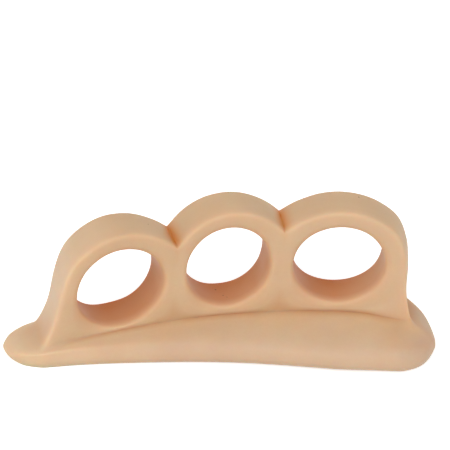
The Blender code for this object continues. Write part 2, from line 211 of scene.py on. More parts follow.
def drawn_in(along, back):
    """Place along the row of an outer side, which the narrow end's wall draws in towards its back."""
    if along >= CENTRES[0]:
        return along
    depth = min(max(back / LOOP_DEPTH, 0.0), 1.0)
    share = (CENTRES[0] - along) / (CENTRES[0] - NARROW_END)
    return along + NARROW_END_TAPER * depth * share


def on_side(along, depth, up):
    """Point on the outside of the loops, at one of the depth lines."""
    back = DEPTH_LINES[depth]
    return (drawn_in(along, back), back, up)


def wall_draw(line, share):
    """Draw of an end wall's front and back edges, from the pad up: the narrow end's foot is rounder."""
    if line == 0:
        return blend(NARROW_FOOT_DRAW, CROWN_EDGE_DRAW, share)
    return CROWN_EDGE_DRAW


def edge_draw(depth, draw):
    """How far a front or back edge of a loop is drawn in, and the same with its sign to the back."""
    if depth == 0:
        return draw, draw
    if depth == len(DEPTH_LINES) - 1:
        return draw, -draw
    return 0.0, 0.0


def pad_thickness(along):
    places = (NARROW_END, 0.0, BROAD_END)
    values = (PAD_THICKNESS_NARROW, PAD_THICKNESS_MIDDLE, PAD_THICKNESS_BROAD)
    return curve_through(places, values, along)


def front_edge(along):
    places = (NARROW_END, CENTRES[0], CENTRES[1], CENTRES[2], BROAD_END)
    reaches = (REACH_NARROW_END, REACH_FIRST_LOOP, REACH_MIDDLE_LOOP, REACH_LAST_LOOP, REACH_BROAD_END)
    return -curve_through(places, reaches, along)


def back_edge(along):
    places = (NARROW_END, 0.0, BROAD_END)
    ledges = (LEDGE_NARROW_END, LEDGE_MIDDLE, LEDGE_BROAD_END)
    return LOOP_DEPTH + curve_through(places, ledges, along)


def bore_height(loop):
    """Height of a bore's axis."""
    return pad_thickness(CENTRES[loop]) + FLOORS[loop] + HEIGHTS[loop] / 2


def crown_height(loop):
    """Height of a loop's top."""
    return bore_height(loop) + HEIGHTS[loop] / 2 + CROWN_WALL


# Toe loops

def bore_point(loop, step, depth, wider=0.0, deeper=0.0):
    """Cage point round a bore, which runs straight back along its own axis."""
    turn = 2 * math.pi / RING_BLOCKS
    angle = -math.pi / 2 + (step - FLOOR_BLOCKS / 2) * turn
    # A smooth surface lies inside its cage, so the cage is this much larger
    growth = 3 / (2 + math.cos(turn))
    along = CENTRES[loop] + (WIDTHS[loop] / 2 + wider) * growth * math.cos(angle)
    up = bore_height(loop) + (HEIGHTS[loop] / 2 + wider) * growth * math.sin(angle)
    place = along / ROW_RADIUS
    heading = CENTRES[loop] / ROW_RADIUS
    back = DEPTH_LINES[depth] + deeper
    x = ROW_RADIUS * math.sin(place) + back * math.sin(heading)
    y = ROW_RADIUS * math.cos(place) - ROW_RADIUS + back * math.cos(heading)
    return unbent(x, y, up)


def notch_height(line):
    """Height of the sharp notch between two loops, below the lower of their crowns."""
    lower = min(crown_height(line - 1), crown_height(line))
    return lower - NOTCH_DEPTH


def end_wall(line):
    """Loop, side, foot and wall thickness of the wall at one end of the row."""
    if line == 0:
        return 0, -1, NARROW_END_FOOT, NARROW_END_WALL
    return LOOPS - 1, 1, BROAD_END_FOOT, BROAD_END_WALL


def wall_point(line, share):
    """Place along the row and height on a web's middle or on an end wall's outer side, from the pad up."""
    foot_height = pad_thickness(WALL_LINES[line])
    if 0 < line < LOOPS:
        return WALL_LINES[line], blend(foot_height, notch_height(line), share)
    loop, side, foot, wall = end_wall(line)
    rise = bore_height(loop) - foot_height
    crown_radius = HEIGHTS[loop] / 2 + CROWN_WALL
    straight = rise / (rise + SHOULDER_ANGLE * crown_radius)
    if share <= straight:
        part = share / straight
        thickness = blend(foot, wall, 1 - (1 - part) ** 2)
        return CENTRES[loop] + side * (WIDTHS[loop] / 2 + thickness), foot_height + rise * part
    angle = SHOULDER_ANGLE * (share - straight) / (1 - straight)
    along = CENTRES[loop] + side * (WIDTHS[loop] / 2 + wall) * math.cos(angle)
    return along, bore_height(loop) + crown_radius * math.sin(angle)


def crown_point(loop, share):
    """Place along the row and height on a loop's outer arc, from its +X end (0) to its -X end (1)."""
    top = crown_height(loop)
    if share <= 0.5:
        line, side, part = loop + 1, 1, 1 - 2 * share
    else:
        line, side, part = loop, -1, 2 * share - 1
    if 0 < line < LOOPS:
        width = abs(WALL_LINES[line] - CENTRES[loop])
        drop = top - notch_height(line)
        radius = (width ** 2 + drop ** 2) / (2 * drop)
        angle = math.asin(min(1.0, width / radius)) * part
        return CENTRES[loop] + side * radius * math.sin(angle), top - radius * (1 - math.cos(angle))
    wall = end_wall(line)[3]
    angle = blend(math.pi / 2, SHOULDER_ANGLE, part)
    along = CENTRES[loop] + side * (WIDTHS[loop] / 2 + wall) * math.cos(angle)
    return along, bore_height(loop) + (HEIGHTS[loop] / 2 + CROWN_WALL) * math.sin(angle)


def outer_point(loop, step):
    """Place along the row and height on a loop's outside, counted like the steps round its bore."""
    step %= RING_BLOCKS
    if step <= FLOOR_BLOCKS:
        along = blend(WALL_LINES[loop], WALL_LINES[loop + 1], step / FLOOR_BLOCKS)
        return along, pad_thickness(along)
    if step <= FLOOR_BLOCKS + SIDE_BLOCKS:
        return wall_point(loop + 1, (step - FLOOR_BLOCKS) / SIDE_BLOCKS)
    if step < FLOOR_BLOCKS + SIDE_BLOCKS + CROWN_BLOCKS:
        return crown_point(loop, CROWN_SHARES[step - FLOOR_BLOCKS - SIDE_BLOCKS])
    return wall_point(loop, (RING_BLOCKS - step) / SIDE_BLOCKS)


def loop_point(loop, layer, step, depth):
    """Cage point of a loop's wall: layer 0 lies on the bore, the others between it and the outside."""
    if layer == 0:
        return bore_point(loop, step, depth, *edge_draw(depth, BORE_EDGE_DRAW))
    along, up = outer_point(loop, step)
    return blend_points(bore_point(loop, step, depth), on_side(along, depth, up), WALL_SHARES[layer])


def edge_point(loop, along, up, depth, draw):
    """Cage point on the outside of a loop, with its front and back edges drawn in towards the bore."""
    inwards, deeper = edge_draw(depth, draw)
    across, rise = CENTRES[loop] - along, bore_height(loop) - up
    share = inwards / math.hypot(across, rise)
    back = DEPTH_LINES[depth]
    return (drawn_in(along + across * share, back), back + deeper, up + rise * share)


# Pad

def edge_slope(edge, along):
    nudge = 0.01 * MM
    return (edge(along + nudge) - edge(along - nudge)) / (2 * nudge)


def end_outline(side):
    """Front and back quarters of the pad's rounded end, each a curve in the plan of the row."""
    if side < 0:
        along, tip, tip_back = NARROW_END, NARROW_TIP, NARROW_TIP_BACK
        front_full, back_full = NARROW_END_FULLNESS, NARROW_END_FULLNESS
    else:
        along, tip, tip_back = BROAD_END, BROAD_TIP, BROAD_TIP_BACK
        front_full, back_full = BROAD_FRONT_FULLNESS, BROAD_BACK_FULLNESS
    front = (along, front_edge(along))
    back = (along, back_edge(along))
    end = (along + side * tip, tip_back)
    front_run, back_run = side * tip * front_full, side * tip * back_full
    front_pull = (front[0] + front_run, front[1] + front_run * edge_slope(front_edge, along))
    back_pull = (back[0] + back_run, back[1] + back_run * edge_slope(back_edge, along))
    front_quarter = (front, front_pull, (end[0], blend(end[1], front[1], front_full)), end)
    back_quarter = (end, (end[0], blend(end[1], back[1], back_full)), back_pull, back)
    return front_quarter, back_quarter


def foot_flare(column):
    """Shift of the foot of an end wall's front corner, along the row and to the front."""
    if column == 0:
        return -NARROW_FLARE_OUT, NARROW_FLARE_FRONT
    if column == PAD_COLUMNS:
        return BROAD_FLARE_OUT, BROAD_FLARE_FRONT
    return 0.0, 0.0


def pad_plan(column, row):
    """Place along the row and back from its front faces of one upright line of the pad's cage."""
    if 0 <= column <= PAD_COLUMNS:
        loop = min(column // FLOOR_BLOCKS, LOOPS - 1)
        share = (column - loop * FLOOR_BLOCKS) / FLOOR_BLOCKS
        along = blend(WALL_LINES[loop], WALL_LINES[loop + 1], share)
        edge = front_edge(along)
        flare_out, flare_front = foot_flare(column)
        fillet = min(FOOT_FILLET, -FILLET_SHARE * (edge + flare_front))
        foot = -flare_front
        if row == FRONT_ROWS:
            return along + flare_out, foot
        if row < FRONT_ROWS:
            return along, (edge, blend(edge, foot - fillet, SECOND_ROW_SHARE), foot - fillet)[row]
        if row <= FRONT_ROWS + DEPTH_ROWS:
            back = DEPTH_LINES[row - FRONT_ROWS]
        else:
            back = blend(LOOP_DEPTH, back_edge(along), (row - FRONT_ROWS - DEPTH_ROWS) / LEDGE_ROWS)
        return drawn_in(along, back), back
    side = -1 if column < 0 else 1
    start = 0 if column < 0 else PAD_COLUMNS
    out = END_SHARES[abs(column - start)]
    front_quarter, back_quarter = end_outline(side)
    inner = pad_plan(start, row)
    inner_front = pad_plan(start, 0)
    inner_back = pad_plan(start, PAD_ROWS)
    across = (inner[1] - inner_front[1]) / (inner_back[1] - inner_front[1])
    if across <= 0.5:
        tip = bezier(front_quarter, blend(END_CORNER, 1, 2 * across))
    else:
        tip = bezier(back_quarter, (1 - END_CORNER) * (2 * across - 1))
    front, back = bezier(front_quarter, END_CORNER * out), bezier(back_quarter, 1 - END_CORNER * out)
    tip_front, tip_back = bezier(front_quarter, END_CORNER), bezier(back_quarter, 1 - END_CORNER)
    along_out = blend_points(inner, tip, out)
    along_across = blend_points(front, back, across)
    inner_side = blend_points(inner_front, inner_back, across)
    tip_side = blend_points(tip_front, tip_back, across)
    corners = blend_points(inner_side, tip_side, out)
    return tuple(a + b - c for a, b, c in zip(along_out, along_across, corners))


def pad_top(column, row):
    """Height of the pad's upper side on one upright line of its cage."""
    along = min(max(pad_plan(column, row)[0], NARROW_END), BROAD_END)
    top = pad_thickness(along)
    if row < FRONT_ROWS:
        top *= FRONT_ROW_HEIGHTS[row]
    if row > FRONT_ROWS + DEPTH_ROWS:
        top *= blend(1.0, BACK_RIM_HEIGHT, (row - FRONT_ROWS - DEPTH_ROWS) / LEDGE_ROWS)
    out = max(-column, column - PAD_COLUMNS)
    if out > 0:
        top -= (NARROW_TIP_THINNING if column < 0 else BROAD_TIP_THINNING) * min(1.0, out / 2)
        top *= TIP_RIM_HEIGHT if out == END_COLUMNS else 1.0
    return top


def rim_neighbours(column, row):
    """Column and row of the two upright lines next to one on the rim."""
    first, last = -END_COLUMNS, PAD_COLUMNS + END_COLUMNS
    if row in (0, PAD_ROWS):
        sides = [(column + n, row) for n in (-1, 1) if first <= column + n <= last]
    else:
        sides = []
    if column in (first, last):
        sides += [(column, row + n) for n in (-1, 1) if 0 <= row + n <= PAD_ROWS]
    return sides


def pad_point(column, row, layer):
    along, back = pad_plan(column, row)
    on_rim = column in (-END_COLUMNS, PAD_COLUMNS + END_COLUMNS) or row in (0, PAD_ROWS)
    if on_rim:
        # A smooth surface lies inside its cage where the outline bends, so the cage stands out there
        start, end = (pad_plan(*place) for place in rim_neighbours(column, row))
        along, back = blend_points(foot_on_line((along, back), start, end), (along, back), 4 / 3)
        # The rim's upper and lower edges lie inside its outline, which rounds them
        inner_column = min(max(column, 1 - END_COLUMNS), PAD_COLUMNS + END_COLUMNS - 1)
        inner_row = min(max(row, 1), PAD_ROWS - 1)
        inner = pad_plan(inner_column, inner_row)
        inset = (LOWER_RIM_ROUND, 0.0, UPPER_RIM_ROUND)[layer]
        share = min(inset / math.dist((along, back), inner), RIM_SHARE)
        along, back = blend_points((along, back), inner, share)
    return (along, back, pad_top(column, row) * layer / PAD_LAYERS)


# Cage: blocks of the pad and of the loops, which share their corners where they meet

def outside_key(loop, step, row):
    """Name of a corner on a loop's outside, which its neighbour or the pad may share."""
    step %= RING_BLOCKS
    if step <= FLOOR_BLOCKS:
        return ("pad", loop * FLOOR_BLOCKS + step, row, PAD_LAYERS)
    if step <= FLOOR_BLOCKS + SIDE_BLOCKS:
        return ("wall", loop + 1, step - FLOOR_BLOCKS, row)
    if step < FLOOR_BLOCKS + SIDE_BLOCKS + CROWN_BLOCKS:
        return ("crown", loop, step, row)
    return ("wall", loop, RING_BLOCKS - step, row)


def loop_key(loop, layer, step, row):
    if layer == len(WALL_SHARES) - 1:
        return outside_key(loop, step, row)
    return ("loop", loop, layer, step % RING_BLOCKS, row)


def cage_point(key):
    if key[0] == "pad":
        return pad_point(*key[1:])
    depth = key[-1] - FRONT_ROWS
    if key[0] == "loop":
        return loop_point(key[1], key[2], key[3], depth)
    if key[0] == "crown":
        return edge_point(key[1], *outer_point(key[1], key[2]), depth, CROWN_EDGE_DRAW)
    share = key[2] / SIDE_BLOCKS
    along, up = wall_point(key[1], share)
    if 0 < key[1] < LOOPS:
        return on_side(along, depth, up)
    return edge_point(end_wall(key[1])[0], along, up, depth, wall_draw(key[1], share))


def pad_blocks():
    for column in range(-END_COLUMNS, PAD_COLUMNS + END_COLUMNS):
        for row in range(PAD_ROWS):
            for layer in range(PAD_LAYERS):
                floor = [("pad", column + a, row + b, layer) for a, b in ((0, 0), (1, 0), (1, 1), (0, 1))]
                yield floor + [key[:3] + (layer + 1,) for key in floor]


def loop_blocks():
    for loop in range(LOOPS):
        for layer in range(len(WALL_SHARES) - 1):
            for step in range(RING_BLOCKS):
                for row in range(FRONT_ROWS, FRONT_ROWS + DEPTH_ROWS):
                    turn = ((0, 1), (1, 1), (1, 0), (0, 0))
                    front = [loop_key(loop, layer + a, step + b, row) for a, b in turn]
                    yield front + [loop_key(loop, layer + a, step + b, row + 1) for a, b in turn]


def skin(blocks):
    """Faces of the blocks that no other block shares, seen from outside."""
    sides = ((0, 3, 2, 1), (4, 5, 6, 7), (0, 1, 5, 4), (1, 2, 6, 5), (2, 3, 7, 6), (3, 0, 4, 7))
    found = {}
    for block in blocks:
        for side in sides:
            face = [block[corner] for corner in side]
            found.setdefault(frozenset(face), []).append(face)
    return [faces[0] for faces in found.values() if len(faces) == 1]


def sharp_edges():
    """Edges of the cage that stay sharp, each with its two corners and how sharp it is."""
    for line in range(1, LOOPS):
        for row in range(FRONT_ROWS, FRONT_ROWS + DEPTH_ROWS):
            yield ("wall", line, SIDE_BLOCKS, row), ("wall", line, SIDE_BLOCKS, row + 1), 1.0
    for column in range(FOOT_LINE_SOFT_COLUMNS, PAD_COLUMNS):
        ends = [("pad", column + n, FRONT_ROWS, PAD_LAYERS) for n in (0, 1)]
        yield ends[0], ends[1], FOOT_LINE_SHARPNESS


# Helpers

def linear(code, alpha=1.0):
    """Linear colour of an sRGB hex code."""
    parts = [int(code[i:i + 2], 16) / 255 for i in (0, 2, 4)]
    return tuple(p / 12.92 if p <= 0.04045 else ((p + 0.055) / 1.055) ** 2.4 for p in parts) + (alpha,)


def add(tree, kind, inputs=None, **settings):
    """Add a node, with its settings, input values and links."""
    made = tree.nodes.new(kind)
    for name, value in settings.items():
        setattr(made, name, value)
    for name, value in (inputs or {}).items():
        if isinstance(value, bpy.types.NodeSocket):
            tree.links.new(value, made.inputs[name])
        else:
            made.inputs[name].default_value = value
    return made


def put(name, mesh):
    piece = bpy.data.objects.new(name, mesh)
    bpy.context.collection.objects.link(piece)
    return piece


def grown(piece, tree, values):
    """Give a piece a geometry nodes tree with its inputs, and keep the result as a plain mesh."""
    modifier = piece.modifiers.new(tree.name, "NODES")
    modifier.node_group = tree
    for item in tree.interface.items_tree:
        if item.item_type == "SOCKET" and item.in_out == "INPUT" and item.name in values:
            modifier[item.identifier] = values[item.name]
    ready = piece.evaluated_get(bpy.context.evaluated_depsgraph_get())
    mesh = bpy.data.meshes.new_from_object(ready)
    piece.modifiers.remove(modifier)
    piece.data = mesh
    mesh.name = piece.name
    return piece


# Soft silicone gel, cast in a polished mould: skin coloured and cloudy, so that light soaks in and comes
# back warmer where the gel is thick; painted into its colour are a warm shade in its hollows and a paler
# light along its edges

# Colours of the gel: its darker and paler clouds, its grains, painted shade for the loops' tops, a grey
# tint, painted warm shade for the hollows, a painted pale light and a painted glow for the notches
CLOUD_DARK = "D5B48F"
CLOUD_PALE = "DCBE98"
GRAIN_COLOUR = "C99A72"
TOP_SHADE_COLOUR = "C09C76"
GREY_TINT_COLOUR = "BEA89C"
HOLLOW_SHADE_COLOUR = "C06818"
PAINTED_LIGHT_COLOUR = "E6CFB6"
NOTCH_GLOW_COLOUR = "D47E26"

# How much of each colour goes in where its place is marked in full
GRAIN_AMOUNT = 0.12
TOP_SHADE_AMOUNT = 0.35
GREY_TINT_AMOUNT = 0.35
HOLLOW_SHADE_AMOUNT = 0.88
PAINTED_LIGHT_AMOUNT = 0.35
# A notch's painted glow fades out by this power of its mark
NOTCH_GLOW_FALL = 2.0

# Sizes of the patterns, the heights between which the painted shade on the loops' tops comes in, and how
# deep light soaks in
CLOUD_SIZE = 9 * MM
GRAIN_SIZE = 0.5 * MM
DULL_PATCH_SIZE = 6 * MM
PEEL_SIZE = 1.2 * MM
FINE_PEEL_SIZE = 0.3 * MM
PEEL_DEPTH = 0.05 * MM
TOP_SHADE_LOW = 14 * MM
TOP_SHADE_HIGH = 27 * MM
SOAK_DEPTH = 3.5 * MM


def make_gel():
    gel = bpy.data.materials.new("Cast silicone gel, skin coloured")
    gel.use_nodes = True
    tree = gel.node_tree
    tree.nodes.clear()
    place = add(tree, "ShaderNodeTexCoord").outputs["Object"]
    hollow_shade = add(tree, "ShaderNodeAttribute", attribute_name="hollow_shade").outputs["Fac"]
    painted_light = add(tree, "ShaderNodeAttribute", attribute_name="painted_light").outputs["Fac"]
    notch = add(tree, "ShaderNodeAttribute", attribute_name="notch").outputs["Fac"]
    grey = add(tree, "ShaderNodeAttribute", attribute_name="grey_tint").outputs["Fac"]
    # Clouds of pigment
    clouds = add(tree, "ShaderNodeTexNoise", {
        "Vector": place, "Scale": 1 / CLOUD_SIZE, "Detail": 3.0, "Roughness": 0.5,
    })
    cloud_share = add(tree, "ShaderNodeMapRange", {
        "Value": clouds.outputs["Fac"], "From Min": 0.3, "From Max": 0.7,
    })
    base = add(tree, "ShaderNodeMix", {
        "Factor": cloud_share.outputs["Result"], "A": linear(CLOUD_DARK), "B": linear(CLOUD_PALE),
    }, data_type="RGBA")
    # Fine grains of pigment
    grains = add(tree, "ShaderNodeTexNoise", {"Vector": place, "Scale": 1 / GRAIN_SIZE, "Detail": 2.0})
    grain_share = add(tree, "ShaderNodeMapRange", {
        "Value": grains.outputs["Fac"], "From Min": 0.25, "From Max": 0.75, "To Max": GRAIN_AMOUNT,
    })
    grained = add(tree, "ShaderNodeMix", {
        "Factor": grain_share.outputs["Result"], "A": base.outputs[2], "B": linear(GRAIN_COLOUR),
    }, data_type="RGBA")
    # Painted shade: the tops of the loops are darker and greyer, more so higher up
    height = add(tree, "ShaderNodeSeparateXYZ", {"Vector": place}).outputs["Z"]
    top_shade = add(tree, "ShaderNodeMapRange", {
        "Value": height, "From Min": TOP_SHADE_LOW, "From Max": TOP_SHADE_HIGH, "To Max": TOP_SHADE_AMOUNT,
    })
    top_shaded = add(tree, "ShaderNodeMix", {
        "Factor": top_shade.outputs["Result"], "A": grained.outputs[2], "B": linear(TOP_SHADE_COLOUR),
    }, data_type="RGBA")
    # The pad's front edge and broad tip are tinted a little greyer
    edge_grey = add(tree, "ShaderNodeMath", {0: grey, 1: GREY_TINT_AMOUNT}, operation="MULTIPLY")
    grey_tint = add(tree, "ShaderNodeMix", {
        "Factor": edge_grey.outputs[0], "A": top_shaded.outputs[2], "B": linear(GREY_TINT_COLOUR),
    }, data_type="RGBA")
    # Painted shade, warm and deep, in the bores and along the foot of the loops, and painted light, pale, on
    # the narrow end and the front rims
    deep = add(tree, "ShaderNodeMath", {0: hollow_shade, 1: HOLLOW_SHADE_AMOUNT}, operation="MULTIPLY")
    hollow_shaded = add(tree, "ShaderNodeMix", {
        "Factor": deep.outputs[0], "A": grey_tint.outputs[2], "B": linear(HOLLOW_SHADE_COLOUR),
    }, data_type="RGBA")
    pale = add(tree, "ShaderNodeMath", {0: painted_light, 1: PAINTED_LIGHT_AMOUNT}, operation="MULTIPLY")
    paled = add(tree, "ShaderNodeMix", {
        "Factor": pale.outputs[0], "A": hollow_shaded.outputs[2], "B": linear(PAINTED_LIGHT_COLOUR),
    }, data_type="RGBA")
    # Painted glow: the orange of light that comes through the gel, painted into the notches between the
    # loops
    narrow = add(tree, "ShaderNodeMath", {0: notch, 1: NOTCH_GLOW_FALL}, operation="POWER")
    colour = add(tree, "ShaderNodeMix", {
        "Factor": narrow.outputs[0], "A": paled.outputs[2], "B": linear(NOTCH_GLOW_COLOUR),
    }, data_type="RGBA")
    # A polished mould leaves a soft sheen that handling dulls in patches
    dull = add(tree, "ShaderNodeTexNoise", {"Vector": place, "Scale": 1 / DULL_PATCH_SIZE, "Detail": 2.0})
    rough = add(tree, "ShaderNodeMapRange", {
        "Value": dull.outputs["Fac"], "From Min": 0.3, "From Max": 0.7, "To Min": 0.46, "To Max": 0.6,
    })
    # Skin of the casting: a faint orange peel under a finer one
    peel = add(tree, "ShaderNodeTexNoise", {"Vector": place, "Scale": 1 / PEEL_SIZE, "Detail": 1.0})
    fine = add(tree, "ShaderNodeTexNoise", {"Vector": place, "Scale": 1 / FINE_PEEL_SIZE, "Detail": 1.0})
    both = add(tree, "ShaderNodeMix", {"Factor": 0.35, "A": peel.outputs["Fac"], "B": fine.outputs["Fac"]})
    bump = add(tree, "ShaderNodeBump", {
        "Height": both.outputs[0], "Strength": 0.25, "Distance": PEEL_DEPTH,
    })
    shader = add(tree, "ShaderNodeBsdfPrincipled", {
        "Base Color": colour.outputs[2],
        "Roughness": rough.outputs["Result"],
        "Normal": bump.outputs["Normal"],
        "IOR": 1.41,
        "Subsurface Weight": 0.8,
        "Subsurface Radius": (1.0, 0.42, 0.22),
        "Subsurface Scale": SOAK_DEPTH,
    })
    add(tree, "ShaderNodeOutputMaterial", {"Surface": shader.outputs["BSDF"]})
    return gel


# Dry dark house dust, matt and mottled, on the tacky gel

MOTTLE_SIZE = 0.1 * MM


def make_dust_finish():
    dust = bpy.data.materials.new("Dry dark dust")
    dust.use_nodes = True
    tree = dust.node_tree
    tree.nodes.clear()
    place = add(tree, "ShaderNodeTexCoord").outputs["Object"]
    mottle = add(tree, "ShaderNodeTexNoise", {"Vector": place, "Scale": 1 / MOTTLE_SIZE})
    colour = add(tree, "ShaderNodeMix", {
        "Factor": mottle.outputs["Fac"], "A": linear("755038"), "B": linear("8E6448"),
    }, data_type="RGBA")
    shader = add(tree, "ShaderNodeBsdfPrincipled", {"Base Color": colour.outputs[2], "Roughness": 0.9})
    add(tree, "ShaderNodeOutputMaterial", {"Surface": shader.outputs["BSDF"]})
    return dust


# Moulding: marks on its cage that the gel's colours follow, each with a share for each corner: painted
# shade, painted light, a painted glow and a grey tint

# From the front row to the back one: how much painted shade the bores get, and how far down a notch lies,
# which sets its painted glow
BORE_SHADES = (0.3, 0.8, 1.0, 1.1)
NOTCH_DEPTHS = (0.4, 1.0, 1.0, 0.7)
# How much less painted shade each bore gets on its side towards the broad end, where more light reaches it
BORE_LIGHTS = (0.2, 0.25, 0.45)
# How much painted shade the pad's columns get beside the end walls
END_POCKET_SHADES = {-1: 0.2, 0: 0.4, PAD_COLUMNS: 0.5, PAD_COLUMNS + 1: 0.5}
# How much painted shade the fold at the foot of the loops gets at the narrow end, how much more at the broad
# end, how much of it is left below a web, where the shade has room to spread upwards, and the broad front's
# share
FOLD_SHADE = 0.45
FOLD_GAIN = 0.2
UNDER_WEB = 0.5
BROAD_FRONT_SHADE = 0.15
# How much painted light the narrow end's pad and first crown get, and the front rims at the first loop and
# more at each
NARROW_END_LIGHT = 0.5
RIM_HIGHLIGHT = 0.25
RIM_HIGHLIGHT_GAIN = 0.15
# How grey the pad's two front rows are, with a start at the narrow end and this many columns to come in
FRONT_GREYS = (0.9, 0.4)
GREY_START = 0.2
GREY_COLUMNS = 5


def hollow_shade_share(key):
    """How much painted shade a corner of the cage gets: in the bores and along the foot of the loops."""
    if key[0] == "loop" and key[2] == 0:
        angle = 2 * math.pi * (key[3] - FLOOR_BLOCKS / 2) / RING_BLOCKS - math.pi / 2
        lit = BORE_LIGHTS[key[1]] * max(0.0, math.cos(angle))
        return BORE_SHADES[key[4] - FRONT_ROWS] * (1 - lit)
    if key[0] == "pad" and key[3] == PAD_LAYERS:
        column, row = key[1:3]
        if 0 < column < PAD_COLUMNS:
            if row != FRONT_ROWS:
                return 0.0
            under_web = UNDER_WEB if column % FLOOR_BLOCKS == 0 else 1.0
            return (FOLD_SHADE + FOLD_GAIN * column / PAD_COLUMNS) * under_web
        if FRONT_ROWS < row < FRONT_ROWS + DEPTH_ROWS:
            return END_POCKET_SHADES.get(column, 0.0)
        if column >= PAD_COLUMNS and 0 < row <= FRONT_ROWS:
            return BROAD_FRONT_SHADE
    return 0.0


def notch_glow_share(key):
    """How far a corner of the cage lies down in a notch between two loops, deepest half way back:
    the share of the painted glow there.
    """
    if key[0] == "wall" and 0 < key[1] < LOOPS and key[2] == SIDE_BLOCKS:
        return NOTCH_DEPTHS[key[3] - FRONT_ROWS]
    return 0.0


def painted_light_share(key):
    """How much painted light, pale, a corner of the cage gets: on the narrow end's wall and tip, and on the
    front rims, there more towards the broad end."""
    if key[0] == "wall" and key[1] == 0:
        return 1.0
    if key[0] == "pad" and key[1] < 2:
        return NARROW_END_LIGHT
    narrow_half = RING_BLOCKS - SIDE_BLOCKS - CROWN_BLOCKS / 2
    if key[0] == "crown" and key[1] == 0 and key[2] > narrow_half:
        return NARROW_END_LIGHT
    if key[0] != "pad" and key[-1] == FRONT_ROWS:
        return RIM_HIGHLIGHT + RIM_HIGHLIGHT_GAIN * key[1]
    return 0.0


def grey_tint_share(key):
    """How far the gel is tinted greyer at a corner of the cage: on the pad's front edge and its broad tip.
    """
    if key[0] != "pad":
        return 0.0
    column, row = key[1:3]
    if column > PAD_COLUMNS + 1:
        return 1.0
    if column >= 0 and row < 2:
        return FRONT_GREYS[row] * min(1.0, GREY_START + column / GREY_COLUMNS)
    return 0.0


# Attributes for the gel's colour: painted shade in the hollows, painted pale light, painted glow in the
# notches, a grey tint
MARKS = {
    "hollow_shade": hollow_shade_share,
    "painted_light": painted_light_share,
    "notch": notch_glow_share,
    "grey_tint": grey_tint_share,
}


def straight_cage():
    """Cage of the whole moulding with its row laid out straight."""
    mesh = bpy.data.meshes.new("straight_row")
    shape = bmesh.new()
    fold = shape.edges.layers.float.new("sharp_fold")
    marks = [(shape.verts.layers.float.new(name), share) for name, share in MARKS.items()]
    corners = {}
    for face in skin(list(pad_blocks()) + list(loop_blocks())):
        for key in face:
            if key not in corners:
                corner = shape.verts.new(cage_point(key))
                for mark, share in marks:
                    corner[mark] = share(key)
                corners[key] = corner
        shape.faces.new([corners[key] for key in face])
    for start, end, sharpness in sharp_edges():
        shape.edges.get((corners[start], corners[end]))[fold] = sharpness
    shape.to_mesh(mesh)
    shape.free()
    return mesh


# The casting's surface is this uneven, in swells of this size, and even near its flat underside
UNEVENNESS = 0.06 * MM
SWELL_SIZE = 7 * MM
EVEN_BELOW = 0.5 * MM
UNEVEN_ABOVE = 2.5 * MM
SMOOTHING = 3


